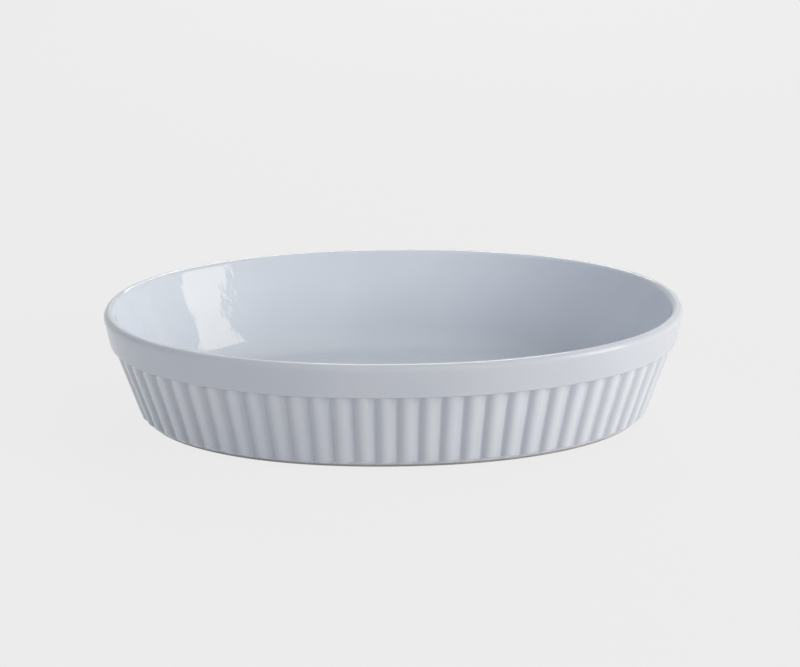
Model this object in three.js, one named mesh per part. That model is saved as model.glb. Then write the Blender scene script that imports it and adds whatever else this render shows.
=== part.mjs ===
// Oval baking dish in glazed stoneware: one fired clay body and the three coats of glaze on it.
// Millimetres, +Z up. The origin is on the table under the middle of the dish, and X runs along its length.
import * as THREE from "three";

const degrees = THREE.MathUtils.degToRad;

// Overall size, over the glaze
const DISH_LENGTH = 280;
const DISH_WIDTH = 200;
const DISH_HEIGHT = 55;
const OUTLINE_POWER = 2.12; // 2 is a plain ellipse, and more is squarer

// Rim band
const BAND_HEIGHT = 16; // crest of the rim to the lower edge of the band
const BAND_TAPER = 2.3; // how far the band draws in from its widest level to its lower edge
const BAND_STEP = 1.4; // how far that lower edge stands out over the reeds

// Wall and floor
const WALL_LEAN = degrees(18.3); // from upright
const WALL_THICKNESS = 6; // crest of a reed to the inside, square to the wall
const FLOOR_THICKNESS = 5.5;
const COVE_RADIUS = 14; // inside, where the wall runs into the floor

// Reeds
const REED_COUNT = 72;
const REED_DEPTH = 1.6;
const REED_END = 4.5; // height over the table where the reeds start to die away

// Foot
const FOOT_ROUND = 4; // radius of the foot's outer edge
const FOOT_RING_WIDTH = 7; // flat bare ring that stands on the table
const FOOT_RECESS = 1.8; // height of the underside over the table

// Glaze
const GLAZE = 0.45; // thickness of each coat
const GLAZE_POOL = 0.2; // extra thickness in the grooves between reeds
const GLAZE_RUN = 0.2; // how far the outside coat runs on to the rounded foot

// Facets
const SMOOTH_FACETS = 96;
const FACETS_PER_REED = 4;
const ARC_FACETS = 4;
const LENGTH_SAMPLES = 1440;

// The section is drawn in two coordinates: the inset from the widest outline of the dish, and the height.
const bandBottom = DISH_HEIGHT - BAND_HEIGHT;
const floorTop = FOOT_RECESS + FLOOR_THICKNESS;

// Inset of the crests of the reeds
function reedInset(height) {
  return BAND_TAPER + BAND_STEP + Math.tan(WALL_LEAN) * (bandBottom - height);
}

// Inset of the inside of the wall
function insideInset(height) {
  return reedInset(height) + WALL_THICKNESS / Math.cos(WALL_LEAN);
}

// The rim is a full round that just touches the band, the crest's level and the inside of the wall.
const rimRadius =
  (insideInset(bandBottom) * Math.cos(WALL_LEAN) - BAND_HEIGHT * Math.sin(WALL_LEAN)) /
  (1 - Math.sin(WALL_LEAN) + Math.cos(WALL_LEAN));
const rimCentre = { inset: rimRadius, height: DISH_HEIGHT - rimRadius };

// The cove touches the inside of the wall and the floor.
const coveTouch = floorTop + COVE_RADIUS * (1 - Math.sin(WALL_LEAN));
const coveCentre = {
  inset: insideInset(coveTouch) + COVE_RADIUS * Math.cos(WALL_LEAN),
  height: floorTop + COVE_RADIUS,
};

// The foot's edge runs on from the bottoms of the grooves, and its bare clay reaches the table.
const footTouch = FOOT_ROUND - GLAZE - FOOT_ROUND * Math.sin(WALL_LEAN);
const footCentre = {
  inset: reedInset(footTouch) + REED_DEPTH + FOOT_ROUND * Math.cos(WALL_LEAN),
  height: FOOT_ROUND - GLAZE,
};
const glazeStop = WALL_LEAN + GLAZE_RUN / FOOT_ROUND;
const footInner = footCentre.inset + FOOT_RING_WIDTH;

// The dish's outline, moved inwards
class Oval extends THREE.Curve {
  constructor(inset) {
    super();
    this.inset = inset;
    this.arcLengthDivisions = LENGTH_SAMPLES;
  }

  getPoint(t, target = new THREE.Vector3()) {
    const along = Math.cos(2 * Math.PI * t);
    const across = Math.sin(2 * Math.PI * t);
    const x = Math.sign(along) * Math.abs(along) ** (2 / OUTLINE_POWER);
    const y = Math.sign(across) * Math.abs(across) ** (2 / OUTLINE_POWER);
    const outward = new THREE.Vector3(
      (Math.sign(x) * Math.abs(x) ** (OUTLINE_POWER - 1)) / DISH_LENGTH,
      (Math.sign(y) * Math.abs(y) ** (OUTLINE_POWER - 1)) / DISH_WIDTH,
      0,
    ).normalize();
    return target.set((x * DISH_LENGTH) / 2, (y * DISH_WIDTH) / 2, 0).addScaledVector(outward, -this.inset);
  }
}

// Every ring has its points at even steps along the outline at the middle of the reeds.
const steps = new Oval(reedInset((bandBottom + REED_END) / 2));

// A closed loop of points at one height, with grooves of the given depth or with none
function ring(inset, height, groove = 0) {
  const count = groove ? REED_COUNT * FACETS_PER_REED : SMOOTH_FACETS;
  return Array.from({ length: count }, (_, k) => {
    const acrossReed = (2 * (k % FACETS_PER_REED)) / FACETS_PER_REED - 1;
    const deeper = groove * acrossReed ** 2;
    const point = new Oval(inset + deeper).getPoint(steps.getUtoTmapping(k / count));
    return point.setZ(height);
  });
}

// A ring of no size, on the axis
function pole(height) {
  return [new THREE.Vector3(0, 0, height)];
}

// Rings along an arc of the section, at angles from level, with 0 pointing inwards and 90 degrees up
function arcRings(centre, radius, from, to, facets = ARC_FACETS) {
  return Array.from({ length: facets + 1 }, (_, k) => {
    const angle = THREE.MathUtils.lerp(from, to, k / facets);
    return ring(centre.inset + radius * Math.cos(angle), centre.height + radius * Math.sin(angle));
  });
}

// Triangles from one ring to the next, whatever their numbers of points
function strip(first, second) {
  const triangles = [];
  const lastOfFirst = first.length > 1 ? first.length : 0;
  const lastOfSecond = second.length > 1 ? second.length : 0;
  let i = 0;
  let j = 0;
  while (i < lastOfFirst || j < lastOfSecond) {
    const a = first[i % first.length];
    const b = second[j % second.length];
    const firstIsBehind = (i + 0.5) * second.length <= (j + 0.5) * first.length;
    if (j === lastOfSecond || (i < lastOfFirst && firstIsBehind)) {
      i += 1;
      triangles.push([a, first[i % first.length], b]);
    } else {
      j += 1;
      triangles.push([a, second[j % second.length], b]);
    }
  }
  return triangles;
}

// A surface through a row of rings
function sheet(rings) {
  return rings.slice(1).flatMap((next, k) => strip(rings[k], next));
}

// The same surface seen from its other side
function flipped(triangles) {
  return triangles.map(([a, b, c]) => [a, c, b]);
}

// Rings up the outside, from the end of the glaze to the crest, at a depth under the finished surface
function outsideRings(depth, groove) {
  const wall = (height) => reedInset(height) + depth;
  return [
    ...arcRings(footCentre, FOOT_ROUND - depth, Math.PI + glazeStop, Math.PI + WALL_LEAN, 1),
    ring(wall(REED_END), REED_END, groove),
    ring(wall(bandBottom), bandBottom + depth, groove),
    ring(BAND_TAPER + depth, bandBottom + depth),
    ...arcRings(rimCentre, rimRadius - depth, Math.PI, Math.PI / 2),
  ];
}

// Rings down the inside, from the crest to the middle of the floor, at a depth under the finished surface
function insideRings(depth) {
  return [
    ...arcRings(rimCentre, rimRadius - depth, Math.PI / 2, WALL_LEAN),
    ...arcRings(coveCentre, COVE_RADIUS + depth, Math.PI + WALL_LEAN, 1.5 * Math.PI),
    pole(floorTop - depth),
  ];
}

const outsideOfGlaze = outsideRings(0, REED_DEPTH);
const outsideOfClay = outsideRings(GLAZE, REED_DEPTH + GLAZE_POOL);
const insideOfGlaze = insideRings(0);
const insideOfClay = insideRings(GLAZE);
const recessEdgeOfGlaze = ring(footInner, FOOT_RECESS);
const recessEdgeOfClay = ring(footInner, FOOT_RECESS + GLAZE);

// Surfaces where clay and glaze meet are made once and shared by both.
const clayOutside = sheet(outsideOfClay);
const clayInside = sheet(insideOfClay);
const clayUnderside = sheet([pole(FOOT_RECESS + GLAZE), recessEdgeOfClay, recessEdgeOfGlaze]);
const bareFoot = sheet([
  recessEdgeOfGlaze,
  ring(footInner, 0),
  ...arcRings(footCentre, FOOT_ROUND - GLAZE, 1.5 * Math.PI, Math.PI + glazeStop),
]);
const crestSeam = sheet([outsideOfGlaze.at(-1), outsideOfClay.at(-1)]);
const footSeam = sheet([outsideOfClay[0], outsideOfGlaze[0]]);

function piece(name, look, ...sheets) {
  const corners = sheets.flat(2);
  const geometry = new THREE.BufferGeometry().setFromPoints(corners);
  geometry.computeVertexNormals();
  const mesh = new THREE.Mesh(geometry, new THREE.MeshStandardMaterial({ metalness: 0, ...look }));
  mesh.name = name;
  return mesh;
}

const clayLook = { color: 0xcfc9c0, roughness: 0.8 };
const glazeLook = { color: 0xd6dce4, roughness: 0.15 };

const dish = new THREE.Group();
dish.add(
  piece("stoneware_body", clayLook, clayUnderside, bareFoot, clayOutside, clayInside),
  piece("inside_glaze", glazeLook, sheet(insideOfGlaze), flipped(clayInside), flipped(crestSeam)),
  piece("outside_glaze", glazeLook, sheet(outsideOfGlaze), crestSeam, flipped(clayOutside), footSeam),
  piece(
    "underside_glaze",
    glazeLook,
    sheet([pole(FOOT_RECESS), recessEdgeOfGlaze]),
    flipped(clayUnderside),
  ),
);

export default dish;
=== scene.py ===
"""Oval baking dish in white-glazed stoneware, on a pale studio floor. Lengths are in metres."""
from math import atan, cos, pi, radians, sin, tan

import bpy
import numpy as np
from mathutils import Matrix, Vector


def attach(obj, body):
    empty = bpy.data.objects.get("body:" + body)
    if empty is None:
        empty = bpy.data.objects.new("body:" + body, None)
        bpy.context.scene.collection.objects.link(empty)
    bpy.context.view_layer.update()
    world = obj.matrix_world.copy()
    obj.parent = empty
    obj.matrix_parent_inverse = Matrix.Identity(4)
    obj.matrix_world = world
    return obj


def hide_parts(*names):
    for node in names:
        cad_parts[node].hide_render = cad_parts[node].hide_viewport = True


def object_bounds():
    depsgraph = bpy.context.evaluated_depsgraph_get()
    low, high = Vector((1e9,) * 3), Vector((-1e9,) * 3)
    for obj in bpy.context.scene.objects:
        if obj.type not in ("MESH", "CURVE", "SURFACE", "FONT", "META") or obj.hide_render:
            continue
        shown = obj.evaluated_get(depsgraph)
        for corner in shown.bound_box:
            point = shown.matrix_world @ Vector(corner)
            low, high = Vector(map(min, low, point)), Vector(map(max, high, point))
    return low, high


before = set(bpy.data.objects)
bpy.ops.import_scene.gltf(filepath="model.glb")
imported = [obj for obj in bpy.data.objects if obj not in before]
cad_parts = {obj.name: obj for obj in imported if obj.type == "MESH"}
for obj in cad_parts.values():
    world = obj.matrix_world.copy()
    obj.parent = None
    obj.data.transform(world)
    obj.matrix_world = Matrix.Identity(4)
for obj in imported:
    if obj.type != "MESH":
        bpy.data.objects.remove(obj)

cad_low, cad_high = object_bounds()

# Overall size, from the frame
LENGTH = cad_high.x - cad_low.x
WIDTH = cad_high.y - cad_low.y
HEIGHT = cad_high.z - cad_low.z
OUTLINE_POWER = 2.12  # 2 is a plain ellipse, and more is squarer

# Rim band
BAND_HEIGHT = 0.016  # crest of the rim to the lower edge of the band
BAND_TAPER = 0.0023  # how far the band draws in from its widest level to its lower edge
BAND_STEP = 0.0014  # how far that lower edge stands out over the reeds
BAND_EDGE = 0.0008  # radius of the lower edge
LEDGE_SHARE = 0.1  # share of the step, and of the grooves, that is left where the lower edge begins

# Wall, floor and foot
WALL_LEAN = radians(18.3)  # from upright
WALL_THICKNESS = 0.006
FLOOR_THICKNESS = 0.0055
COVE_RADIUS = 0.014  # inside, where the wall runs into the floor
FOOT_ROUND = 0.004  # radius of the foot's outer edge
FOOT_RING_WIDTH = 0.007
FOOT_RECESS = 0.0018  # height of the underside over the table
FOOT_BEVEL = 0.0006  # soft inner edge of the foot ring

# Reeds
REED_COUNT = 72
REED_DEPTH = 0.0016
REED_END = 0.0045  # height where the reeds start to die away
REED_CORNER = 0.0005  # fillet of glaze where the reeds meet the band
REED_POWER = 0.9  # of the reed's section: 1 is a parabola, and 0.5 a half round
CORNER_GROOVE = 0.75  # share of a groove's depth at the end of the fillet

# Grooves, as shares of the bare groove's depth and of half a reed's width
GROOVE_FLOOR = 0.80  # mean depth of the floor that the glaze makes in a groove
GROOVE_DIP = 0.06  # how far that floor dips and rises from its mean
GROOVE_WIDTH = 0.18  # from the middle of the groove to where its floor is highest

# Glaze
GLAZE = 0.00045
GLAZE_POOL = 0.0002  # extra thickness in the grooves
GLAZE_RUN = 0.0002  # how far the outside coat runs on to the rounded foot
GLAZE_ROLL = 0.45  # share of that run after which the coat rolls over to its end
COAT_BACK = 0.9  # share of the glaze's thickness at the back of a coat, which stays clear of the clay

# Hand-made unevenness
RIM_WAVER = 0.00012
RUN_WAVER = 0.25  # share of the glaze's run
WAVES = ((0.5, 3, 0.8), (0.3, 7, 2.1), (0.2, 16, 0.0))  # share, count round the dish and phase of each

# Mesh steps
REED_STEPS = 14  # round each reed, on the outside coat
SMOOTH_STEPS = 4  # the same, on the other pieces
LENGTH_SAMPLES = 4000
SMALL_ARC_STEPS = 4  # bevel of the foot ring, lip of the underside's coat and fillet over the reeds
FOOT_STEPS = 10
FADE_STEPS = 12  # from the foot to where the reeds have their full depth
STRAIGHT_STEPS = 10  # from there to the fillet
EDGE_STEPS = 6
BAND_STEPS = 7
RIM_STEPS = 12
WALL_STEPS = 9
COVE_STEPS = 16
DISC_STEPS = 9

# Thickness of a coat, as its material reads it. Where the coat is thin, on the crests, its tint is lighter:
# a painted highlight.
THICKNESS = "thickness"
THIN_HIGHLIGHT, EVEN, POOLED = 0.0, 0.5, 1.0
REED_CREST_HIGHLIGHT = 0.28  # on the crests of the reeds, nearer the lighter thin tint: painted highlight
BAND_HIGHLIGHT_START = 0.88  # share of the way up the band and over the rim where the coat starts to thin, and its painted highlight starts
INSIDE_HIGHLIGHT_END = 0.06  # share of the way down the inside where the coat has its even thickness, and the painted highlight on the crest has faded out

# Looks of the glaze: tints from thin to pooled, the thin one lighter as a painted highlight on the crests,
# roughness of the clear skin, and height of its ripples
WHITE = (1.0, 1.0, 1.0)
OUTSIDE_TINTS = ((0.72, 0.745, 0.79), (0.51, 0.54, 0.612), (0.48, 0.508, 0.58))
INSIDE_TINTS = ((0.70, 0.735, 0.79), (0.598, 0.646, 0.726))
CLOUD_TINT = (0.94, 0.95, 0.96)
SATIN_SKIN = (0.14, 0.24)
MIRROR_SKIN = (0.01, 0.035)
SLIGHT_RIPPLE = 0.0002
POURED_RIPPLE = 0.0026
FINE_RIPPLE = 0.08  # height of the finer ripples, as a share of the broad ones
RIPPLE_SEED = 51.0

# Looks of the bare clay
CLAY_TINTS = ((0.31, 0.305, 0.30), (0.41, 0.405, 0.40))
SPECK_TINT = (0.5, 0.48, 0.46)
SPECK_RANGE = (0.30, 0.36)  # values of the noise over which a speck ends
CLAY_ROUGHNESS = (0.65, 0.9)
CLAY_GRAIN = 0.0002

# Noise keeps mostly between these values.
NOISE_LOW, NOISE_HIGH = 0.3, 0.7

# Studio
FLOOR_SIZE = 12.0
FLOOR_COLOUR = (0.845, 0.845, 0.845)
FLOOR_PLAIN = 0.94  # share of the floor's own colour that is seen without light or shade
FILL_LIGHT = 0.09

# Lamps, each by its direction from the dish, its distance, its width and height, its power and its colour
LAMPS = {
    "key": ((0.915, -0.37, 0.42), 1.5, (0.6, 0.86), 7.4, (1.0, 0.985, 0.95)),
    "window": ((0.866, -0.341, 0.366), 1.5, (0.62, 1.0), 7.5, (1.0, 0.90, 0.72)),
    "front": ((0.6, -0.8, 0.3), 1.7, (1.0, 0.7), 8.9, WHITE),
    "top": ((0.4, 0.22, 0.88), 1.4, (0.8, 0.7), 4.6, (1.0, 0.99, 0.97)),
    "side": ((-0.9, -0.36, 0.42), 1.6, (1.5, 0.9), 9.8, WHITE),
    "rim": ((0.05, 0.74, 0.67), 1.7, (0.6, 0.5), 5.0, WHITE),
    "back": ((0.15, 0.93, 0.32), 1.7, (1.4, 0.6), 7.5, WHITE),
}

# Lamps that show in the glaze, as the bright patch inside and the bright line on the rim
MIRRORED_LAMPS = ("window", "rim")

# Camera, as the photograph was taken. The pixel is in the photograph's frame.
IMAGE_SIZE = (800, 667)
BASE_PIXEL = (394.0, 407.7)  # where the middle of the dish's underside lies
CAMERA_DISTANCE = 0.956
CAMERA_ELEVATION = radians(19.68)
CAMERA_AZIMUTH = radians(0.75)
CAMERA_ROLL = radians(0.5)
FOCAL_PIXELS = 1931
SENSOR_WIDTH = 36  # millimetres

band_bottom = HEIGHT - BAND_HEIGHT
floor_top = FOOT_RECESS + FLOOR_THICKNESS


# The section of the dish, as insets from its widest outline and heights over the table


def reed_inset(height):
    """Inset of the crests of the reeds."""
    return BAND_TAPER + BAND_STEP + tan(WALL_LEAN) * (band_bottom - height)


def inside_inset(height):
    """Inset of the inside of the wall."""
    return reed_inset(height) + WALL_THICKNESS / cos(WALL_LEAN)


# The rim is a full round that touches the band, the crest's level and the inside of the wall.
rim_radius = (inside_inset(band_bottom) * cos(WALL_LEAN) - BAND_HEIGHT * sin(WALL_LEAN)) / (
    1 - sin(WALL_LEAN) + cos(WALL_LEAN)
)
rim_centre = (rim_radius, HEIGHT - rim_radius)

# The cove touches the inside of the wall and the floor.
cove_touch = floor_top + COVE_RADIUS * (1 - sin(WALL_LEAN))
cove_centre = (inside_inset(cove_touch) + COVE_RADIUS * cos(WALL_LEAN), floor_top + COVE_RADIUS)

# The foot's edge runs on from the bottoms of the grooves, and its bare clay reaches the table.
foot_touch = FOOT_ROUND - GLAZE - FOOT_ROUND * sin(WALL_LEAN)
foot_centre = (
    reed_inset(foot_touch) + REED_DEPTH + FOOT_ROUND * cos(WALL_LEAN),
    FOOT_ROUND - GLAZE,
)
foot_inner = foot_centre[0] + FOOT_RING_WIDTH


def smooth(x):
    """Eases from 0 to 1."""
    x = np.clip(x, 0, 1)
    return x * x * (3 - 2 * x)


# The outline of the dish


def oval(turn, inset):
    """Points of the outline at parts of a turn, moved inwards."""
    along = np.cos(2 * pi * turn)
    across = np.sin(2 * pi * turn)
    x = np.sign(along) * np.abs(along) ** (2 / OUTLINE_POWER)
    y = np.sign(across) * np.abs(across) ** (2 / OUTLINE_POWER)
    nx = np.sign(x) * np.abs(x) ** (OUTLINE_POWER - 1) / LENGTH
    ny = np.sign(y) * np.abs(y) ** (OUTLINE_POWER - 1) / WIDTH
    size = np.hypot(nx, ny)
    return x * LENGTH / 2 - inset * nx / size, y * WIDTH / 2 - inset * ny / size


def even_turns(count):
    """Parts of a turn that lie at even steps along the outline at the middle of the reeds."""
    turn = np.linspace(0, 1, LENGTH_SAMPLES + 1)
    x, y = oval(turn, reed_inset((band_bottom + REED_END) / 2))
    run = np.concatenate([[0], np.cumsum(np.hypot(np.diff(x), np.diff(y)))])
    return np.interp(np.arange(count) / count * run[-1], run, turn)


class Columns:
    """The upright lines of a mesh, at even steps round the dish."""

    def __init__(self, steps_per_reed):
        count = REED_COUNT * steps_per_reed
        self.turn = even_turns(count)
        across = 2 * (np.arange(count) % steps_per_reed) / steps_per_reed - 1
        self.groove = self.reed_section(across)
        angle = 2 * pi * self.turn
        self.waver = sum(share * np.sin(waves * angle + phase) for share, waves, phase in WAVES)

    @staticmethod
    def reed_section(across):
        """Depth across a reed, 0 on its crest and 1 in the groove, which the glaze rounds off."""
        round_reed = 1 - (1 - across**2) ** REED_POWER
        from_middle = np.clip((1 - np.abs(across)) / GROOVE_WIDTH, 0, 1)
        filled = GROOVE_FLOOR + GROOVE_DIP * np.cos(pi * from_middle)
        return np.minimum(round_reed, filled) / (GROOVE_FLOOR + GROOVE_DIP)

    def ring(self, inset, height, groove_depth=0.0):
        """One level loop of points, with the rim's slight unevenness."""
        x, y = oval(self.turn, inset + groove_depth * self.groove)
        near_rim = smooth((height - band_bottom) / BAND_HEIGHT)
        z = height + RIM_WAVER * self.waver * near_rim
        return np.stack([x, y, np.broadcast_to(z, x.shape)], axis=1)

    def arc(self, centre, radius, start, end, steps):
        """Loops along an arc of the section, with angle 0 inwards and 90 degrees up."""
        return [
            self.ring(centre[0] + radius * cos(a), centre[1] + radius * sin(a))
            for a in np.linspace(start, end, steps + 1)
        ]

    def line(self, first, second, steps):
        """Loops along a straight stretch of the section, without its two ends."""
        shares = np.linspace(0, 1, steps + 1)[1:-1]
        return [
            self.ring(first[0] + (second[0] - first[0]) * s, first[1] + (second[1] - first[1]) * s)
            for s in shares
        ]


def disc(edge):
    """Loops from an edge towards the middle, on the level of the edge, without its two ends."""
    shares = np.linspace(1, 0, DISC_STEPS + 1)[1:-1]
    return [edge * (s, s, 1) for s in shares]


def foot_rings(columns, depth):
    """Loops down the rounded foot to the uneven end of the outside coat, which rolls over at its end."""
    run = GLAZE_RUN * (1 + RUN_WAVER * columns.waver)
    under = GLAZE * COAT_BACK
    rings = []
    for share in np.linspace(0, 1, FOOT_STEPS + 1):
        angle = pi + WALL_LEAN + share * run / FOOT_ROUND
        roll = np.sqrt(1 - smooth((share - GLAZE_ROLL) / (1 - GLAZE_ROLL)) ** 2)
        radius = FOOT_ROUND - under + (under - depth) * roll
        inset = foot_centre[0] + radius * np.cos(angle)
        rings.append(columns.ring(inset, foot_centre[1] + radius * np.sin(angle)))
    return rings


def reed_rings(columns, depth, groove_depth):
    """Loops up the reeds, from the foot, where they die away, to the fillet under the band."""
    fade = np.linspace(foot_touch, REED_END, FADE_STEPS + 1)[1:]
    straight = np.linspace(REED_END, band_bottom - REED_CORNER, STRAIGHT_STEPS + 1)[1:]
    rings = []
    for height in np.concatenate([fade, straight]):
        full = float(smooth((height - foot_touch) / (REED_END - foot_touch)))
        inset = reed_inset(height) + depth + REED_DEPTH * (1 - full)
        rings.append(columns.ring(inset, height, groove_depth * full))
    return rings


def band_rings(columns, depth, groove_depth):
    """Loops from the fillet over the reeds along the band's underside, and up to the crest of the rim."""
    wall = reed_inset(band_bottom) + depth
    quarter = pi / 2
    rings = []
    for a in np.linspace(0, quarter, SMALL_ARC_STEPS + 1)[1:]:
        inset = wall - REED_CORNER * (1 - cos(a))
        height = band_bottom + depth - REED_CORNER * (1 - sin(a))
        rings.append(columns.ring(inset, height, groove_depth * (1 - (1 - CORNER_GROOVE) * a / quarter)))
    ledge = BAND_TAPER + BAND_EDGE + LEDGE_SHARE * BAND_STEP
    rings.append(columns.ring(ledge, band_bottom + depth, LEDGE_SHARE * groove_depth))
    edge_centre = (BAND_TAPER + BAND_EDGE, band_bottom + BAND_EDGE)
    rings += columns.arc(edge_centre, BAND_EDGE - depth, 1.5 * pi, pi, EDGE_STEPS)
    low = (BAND_TAPER + depth, band_bottom + BAND_EDGE)
    rings += columns.line(low, (depth, rim_centre[1]), BAND_STEPS)
    rings += columns.arc(rim_centre, rim_radius - depth, pi, pi / 2, RIM_STEPS)
    return rings


def inside_rings(columns, depth):
    """Loops from the crest of the rim down the inside and across the floor."""
    rings = columns.arc(rim_centre, rim_radius - depth, pi / 2, WALL_LEAN, RIM_STEPS)
    top = (
        rim_centre[0] + (rim_radius - depth) * cos(WALL_LEAN),
        rim_centre[1] + (rim_radius - depth) * sin(WALL_LEAN),
    )
    cove = columns.arc(cove_centre, COVE_RADIUS + depth, pi + WALL_LEAN, 1.5 * pi, COVE_STEPS)
    low = (
        cove_centre[0] - (COVE_RADIUS + depth) * cos(WALL_LEAN),
        cove_centre[1] - (COVE_RADIUS + depth) * sin(WALL_LEAN),
    )
    rings += columns.line(top, low, WALL_STEPS) + cove
    return rings + disc(cove[-1])


# Meshes


def loft(name, rings, start_pole=None, end_pole=None):
    """A closed mesh through loops of equally many points, shut by poles or by joining last to first."""
    count = len(rings[0])
    points = [tuple(p) for ring in rings for p in ring]
    faces = []
    spans = len(rings) - 1 if start_pole is not None else len(rings)
    for r in range(spans):
        low = r * count
        high = (r + 1) % len(rings) * count
        for k in range(count):
            after = (k + 1) % count
            faces.append((low + k, low + after, high + after, high + k))
    if start_pole is not None:
        last = (len(rings) - 1) * count
        points += [(0, 0, start_pole), (0, 0, end_pole)]
        for k in range(count):
            after = (k + 1) % count
            faces.append((len(points) - 2, after, k))
            faces.append((last + k, last + after, len(points) - 1))
    mesh = bpy.data.meshes.new(name)
    mesh.from_pydata(points, [], faces)
    mesh.shade_smooth()
    piece = bpy.data.objects.new(name, mesh)
    bpy.context.collection.objects.link(piece)
    return piece


def mark_coat(piece, values):
    """Stores the coat's thickness at each point of a mesh, for its material to read."""
    attribute = piece.data.attributes.new(THICKNESS, "FLOAT", "POINT")
    attribute.data.foreach_set("value", np.asarray(values, dtype=np.float32))


def dress(piece, node, material):
    """Puts a piece in the place of its CAD node."""
    piece.data.materials.append(material)
    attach(piece, "root")
    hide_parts(node)


# Materials


class Nodes:
    """A short way to build a material's node tree."""

    def __init__(self, name):
        self.material = bpy.data.materials.new(name)
        self.material.use_nodes = True
        self.tree = self.material.node_tree
        self.shader = self.tree.nodes["Principled BSDF"]

    def add(self, kind, **settings):
        node = self.tree.nodes.new(kind)
        for key, value in settings.items():
            setattr(node, key, value)
        return node

    def link(self, output, socket):
        self.tree.links.new(output, socket)

    def noise(self, scale, detail, roughness=0.5, seed=0.0):
        place = self.add("ShaderNodeTexCoord")
        noise = self.add("ShaderNodeTexNoise", noise_dimensions="4D")
        noise.inputs["W"].default_value = seed
        noise.inputs["Scale"].default_value = scale
        noise.inputs["Detail"].default_value = detail
        noise.inputs["Roughness"].default_value = roughness
        self.link(place.outputs["Object"], noise.inputs["Vector"])
        return noise.outputs["Fac"]

    def ramp(self, value, positions, colours):
        """Colours a value, with one colour at each position, or at the first few of them."""
        ramp = self.add("ShaderNodeValToRGB")
        elements = ramp.color_ramp.elements
        while len(elements) < len(colours):
            elements.new(1.0)
        for element, position, colour in zip(elements, positions, colours):
            element.position = position
            element.color = (*colour, 1)
        self.link(value, ramp.inputs["Fac"])
        return ramp.outputs["Color"]

    def span(self, value, low, high):
        """Maps noise to a range."""
        span = self.add("ShaderNodeMapRange")
        span.inputs["From Min"].default_value = NOISE_LOW
        span.inputs["From Max"].default_value = NOISE_HIGH
        span.inputs["To Min"].default_value = low
        span.inputs["To Max"].default_value = high
        self.link(value, span.inputs["Value"])
        return span.outputs["Result"]

    def multiply(self, first, second):
        mix = self.add("ShaderNodeMix", data_type="RGBA", blend_type="MULTIPLY")
        mix.inputs["Factor"].default_value = 1.0
        self.link(first, mix.inputs["A"])
        self.link(second, mix.inputs["B"])
        return mix.outputs["Result"]

    def bump(self, height, distance, strength=1.0, below=None):
        bump = self.add("ShaderNodeBump")
        bump.inputs["Distance"].default_value = distance
        bump.inputs["Strength"].default_value = strength
        self.link(height, bump.inputs["Height"])
        if below is not None:
            self.link(below, bump.inputs["Normal"])
        return bump.outputs["Normal"]


def glaze_material(name, tints, skin, ripple):
    """Opaque glaze: its tint follows its thickness, lighter where thin as a painted highlight on the
    crests, with faint clouds, under a clear skin that ripples.
    """
    n = Nodes(name)
    thickness = n.add("ShaderNodeAttribute", attribute_name=THICKNESS).outputs["Fac"]
    # The first tint, for the thin coat on the crests, is lighter: a painted highlight.
    tint = n.ramp(thickness, (THIN_HIGHLIGHT, EVEN, POOLED), tints)
    clouds = n.ramp(n.noise(scale=22, detail=3.0), (NOISE_LOW, NOISE_HIGH), (CLOUD_TINT, WHITE))
    n.link(n.multiply(tint, clouds), n.shader.inputs["Base Color"])
    n.link(n.span(n.noise(scale=70, detail=3.0), *skin), n.shader.inputs["Coat Roughness"])
    broad = n.bump(n.noise(scale=26, detail=1.0, seed=RIPPLE_SEED), ripple)
    fine = n.bump(n.noise(scale=240, detail=2.0), FINE_RIPPLE * ripple, below=broad)
    n.link(fine, n.shader.inputs["Coat Normal"])
    n.shader.inputs["Coat Weight"].default_value = 1.0
    n.shader.inputs["Coat IOR"].default_value = 1.5
    n.shader.inputs["Specular IOR Level"].default_value = 0.0
    n.shader.inputs["Roughness"].default_value = 0.9
    return n.material


def clay_material():
    """Bare fired stoneware: warm grey, speckled and grainy."""
    n = Nodes("bare_clay")
    ground = n.ramp(n.noise(scale=120, detail=4.0), (NOISE_LOW, NOISE_HIGH), CLAY_TINTS)
    specks = n.ramp(n.noise(scale=1400, detail=1.0), SPECK_RANGE, (SPECK_TINT, WHITE))
    n.link(n.multiply(ground, specks), n.shader.inputs["Base Color"])
    n.link(n.span(n.noise(scale=300, detail=2.0), *CLAY_ROUGHNESS), n.shader.inputs["Roughness"])
    grain = n.bump(n.noise(scale=1800, detail=4.0, roughness=0.7), CLAY_GRAIN, strength=0.6)
    n.link(grain, n.shader.inputs["Normal"])
    return n.material


# Pieces of the dish


def stoneware_body():
    """The clay, from the middle of its underside round the foot and the rim to the middle of its floor."""
    columns = Columns(SMOOTH_STEPS)
    ceiling = FOOT_RECESS + GLAZE
    recess_edge = columns.ring(foot_inner, ceiling)
    bevel_centre = (foot_inner - FOOT_BEVEL, FOOT_BEVEL)
    groove = REED_DEPTH + GLAZE_POOL
    rings = disc(recess_edge)[::-1]
    rings += [recess_edge, columns.ring(foot_inner, FOOT_BEVEL)]
    rings += columns.arc(bevel_centre, FOOT_BEVEL, 0, -pi / 2, SMALL_ARC_STEPS)
    rings += columns.arc(foot_centre, FOOT_ROUND - GLAZE, 1.5 * pi, pi + WALL_LEAN, FOOT_STEPS)
    rings += reed_rings(columns, GLAZE, groove)
    rings += band_rings(columns, GLAZE, groove)
    rings += inside_rings(columns, GLAZE)[1:]
    piece = loft("fired_clay", rings, ceiling, floor_top - GLAZE)
    dress(piece, "stoneware_body", clay_material())


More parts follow.
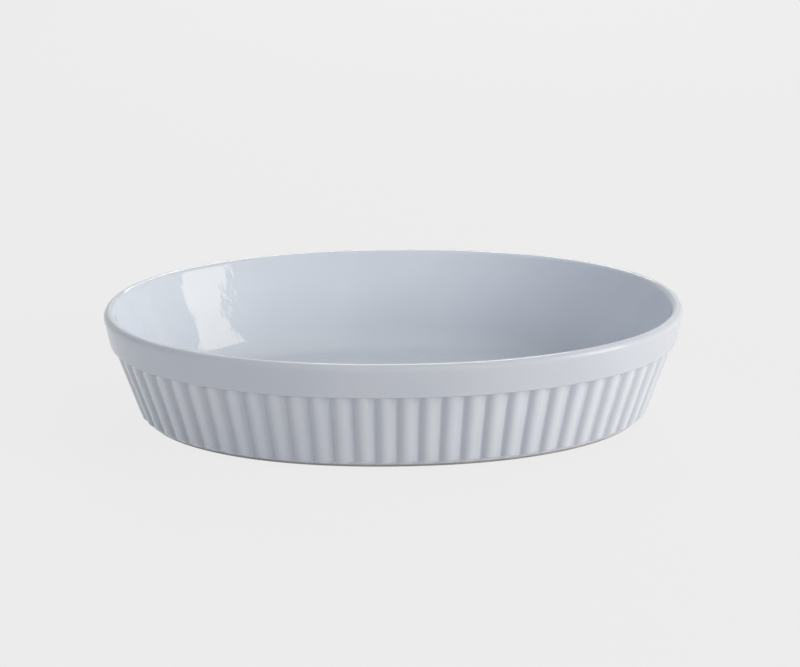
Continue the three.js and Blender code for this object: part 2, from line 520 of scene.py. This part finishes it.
def outside_glaze():
    """The coat from the foot over reeds and band to the crest. It thins on crests, where its lighter tint
    is a painted highlight, and is thicker in grooves.
    """
    columns = Columns(REED_STEPS)
    back = GLAZE * COAT_BACK
    pooled_groove = REED_DEPTH + GLAZE_POOL
    front = foot_rings(columns, 0.0)[::-1] + reed_rings(columns, 0.0, REED_DEPTH)
    fillet_end = len(front) + SMALL_ARC_STEPS
    front += band_rings(columns, 0.0, REED_DEPTH)
    behind = foot_rings(columns, back)[::-1][1:] + reed_rings(columns, back, pooled_groove)
    behind += band_rings(columns, back, pooled_groove)
    piece = loft("glaze_outside", front + behind[::-1])
    # The reeds' crests take a value near the lighter thin tint: painted highlight.
    in_reeds = REED_CREST_HIGHLIGHT + (POOLED - REED_CREST_HIGHLIGHT) * columns.groove
    on_band = np.full_like(columns.groove, EVEN)
    band_start = fillet_end + 1
    values = []
    for r in range(len(front)):
        up_band = max(0, r - band_start) / (len(front) - 1 - band_start)
        # Towards the crest of the rim the coat thins, and its lighter tint there is a painted highlight.
        crest_highlight = EVEN * smooth((up_band - BAND_HIGHLIGHT_START) / (1 - BAND_HIGHLIGHT_START))
        values.append(in_reeds if r < fillet_end else on_band - crest_highlight)
    values += [on_band] * len(behind)
    mark_coat(piece, np.concatenate(values))
    look = glaze_material("outside_glaze", OUTSIDE_TINTS, SATIN_SKIN, SLIGHT_RIPPLE)
    dress(piece, "outside_glaze", look)


def inside_glaze():
    """The coat from the crest down the wall and over the floor. It thins on the crest, where its lighter
    tint is a painted highlight.
    """
    columns = Columns(SMOOTH_STEPS)
    back = GLAZE * COAT_BACK
    front = inside_rings(columns, 0.0)
    behind = inside_rings(columns, back)
    piece = loft("glaze_inside", behind[::-1] + front, floor_top - back, floor_top)
    way_down = np.linspace(0, 1, len(front))
    # At the crest the coat is thin, and its lighter tint there is a painted highlight.
    on_front = EVEN * smooth(way_down / INSIDE_HIGHLIGHT_END)
    per_ring = np.concatenate([np.full(len(behind), EVEN), on_front])
    per_point = np.repeat(per_ring, len(columns.turn))
    at_poles = [EVEN, EVEN]
    mark_coat(piece, np.concatenate([per_point, at_poles]))
    look = glaze_material("inside_glaze", INSIDE_TINTS, MIRROR_SKIN, POURED_RIPPLE)
    dress(piece, "inside_glaze", look)


def underside_glaze():
    """The coat in the recess under the floor, with a rounded lip round its edge."""
    columns = Columns(SMOOTH_STEPS)
    back = FOOT_RECESS + GLAZE * COAT_BACK
    edge = foot_inner + GLAZE - GLAZE * COAT_BACK
    lip = GLAZE / 2
    low = columns.ring(edge + GLAZE, FOOT_RECESS)
    turn_up = columns.arc((edge + GLAZE, FOOT_RECESS + lip), lip, -pi / 2, -pi, SMALL_ARC_STEPS)[1:]
    high = columns.ring(edge, back)
    rings = disc(low)[::-1] + [low] + turn_up + [high] + disc(high)
    piece = loft("glaze_underside", rings, FOOT_RECESS, back)
    mark_coat(piece, np.full(len(piece.data.vertices), EVEN))
    look = glaze_material("underside_glaze", INSIDE_TINTS, SATIN_SKIN, SLIGHT_RIPPLE)
    dress(piece, "underside_glaze", look)


# Studio


def background_rays(tree):
    """1 on rays that show the background, straight, in a reflection or through glass, and else 0."""
    path = tree.nodes.new("ShaderNodeLightPath")
    seen = path.outputs["Is Camera Ray"]
    for kind in ("Is Glossy Ray", "Is Transmission Ray"):
        either = tree.nodes.new("ShaderNodeMath")
        either.operation = "MAXIMUM"
        tree.links.new(seen, either.inputs[0])
        tree.links.new(path.outputs[kind], either.inputs[1])
        seen = either.outputs[0]
    return seen


def studio_floor():
    """A pale floor that keeps the dish's shadow, and is seen mostly in its plain colour."""
    mesh = bpy.data.meshes.new("floor")
    half = FLOOR_SIZE / 2
    corners = [(-half, -half, 0), (half, -half, 0), (half, half, 0), (-half, half, 0)]
    mesh.from_pydata(corners, [], [(0, 1, 2, 3)])
    floor = bpy.data.objects.new("floor", mesh)
    bpy.context.collection.objects.link(floor)
    n = Nodes("floor")
    n.shader.inputs["Base Color"].default_value = (*FLOOR_COLOUR, 1)
    n.shader.inputs["Roughness"].default_value = 0.9
    plain = n.add("ShaderNodeEmission")
    plain.inputs["Color"].default_value = (*FLOOR_COLOUR, 1)
    share = n.add("ShaderNodeMath", operation="MULTIPLY")
    share.inputs[1].default_value = FLOOR_PLAIN
    n.link(background_rays(n.tree), share.inputs[0])
    mix = n.add("ShaderNodeMixShader")
    n.link(share.outputs[0], mix.inputs[0])
    n.link(n.shader.outputs[0], mix.inputs[1])
    n.link(plain.outputs[0], mix.inputs[2])
    n.link(mix.outputs[0], n.tree.nodes["Material Output"].inputs["Surface"])
    mesh.materials.append(n.material)


def studio_lamp(name, direction, distance, size, power, colour):
    """A soft rectangular lamp that faces the dish."""
    lamp = bpy.data.lights.new(name, "AREA")
    lamp.shape = "RECTANGLE"
    lamp.size, lamp.size_y = size
    lamp.energy = power
    lamp.color = colour
    stand = bpy.data.objects.new(name, lamp)
    towards = Vector(direction).normalized()
    stand.location = towards * distance
    stand.rotation_euler = towards.to_track_quat("Z", "Y").to_euler()
    stand.visible_camera = False
    stand.visible_glossy = name in MIRRORED_LAMPS
    bpy.context.collection.objects.link(stand)


def studio_light():
    """An even fill from all round, which is seen in the floor's colour, and the lamps."""
    world = bpy.data.worlds.new("studio")
    world.use_nodes = True
    tree = world.node_tree
    fill = tree.nodes["Background"]
    fill.inputs["Color"].default_value = (*WHITE, 1)
    fill.inputs["Strength"].default_value = FILL_LIGHT
    seen = tree.nodes.new("ShaderNodeBackground")
    seen.inputs["Color"].default_value = (*FLOOR_COLOUR, 1)
    mix = tree.nodes.new("ShaderNodeMixShader")
    tree.links.new(background_rays(tree), mix.inputs[0])
    tree.links.new(fill.outputs[0], mix.inputs[1])
    tree.links.new(seen.outputs[0], mix.inputs[2])
    tree.links.new(mix.outputs[0], tree.nodes["World Output"].inputs["Surface"])
    bpy.context.scene.world = world
    for name, settings in LAMPS.items():
        studio_lamp(name, *settings)


def photo_camera():
    """The photograph's camera: it stands as measured round the dish, and is turned to frame it alike."""
    data = bpy.data.cameras.new("camera")
    data.sensor_width = SENSOR_WIDTH
    data.lens = FOCAL_PIXELS * SENSOR_WIDTH / IMAGE_SIZE[0]
    camera = bpy.data.objects.new("camera", data)
    level = cos(CAMERA_ELEVATION)
    towards = Vector(
        (-level * sin(CAMERA_AZIMUTH), -level * cos(CAMERA_AZIMUTH), sin(CAMERA_ELEVATION))
    )
    aim = towards.to_track_quat("Z", "Y").to_matrix().to_4x4()
    right = atan((IMAGE_SIZE[0] / 2 - BASE_PIXEL[0]) / FOCAL_PIXELS)
    up = atan((BASE_PIXEL[1] - IMAGE_SIZE[1] / 2) / FOCAL_PIXELS)
    turn = (
        Matrix.Rotation(-right, 4, "Y")
        @ Matrix.Rotation(up, 4, "X")
        @ Matrix.Rotation(-CAMERA_ROLL, 4, "Z")
    )
    camera.matrix_world = Matrix.Translation(towards * CAMERA_DISTANCE) @ aim @ turn
    bpy.context.collection.objects.link(camera)
    bpy.context.scene.camera = camera


stoneware_body()
outside_glaze()
inside_glaze()
underside_glaze()
studio_floor()
studio_light()
photo_camera()
bpy.context.scene.view_settings.view_transform = "Standard"
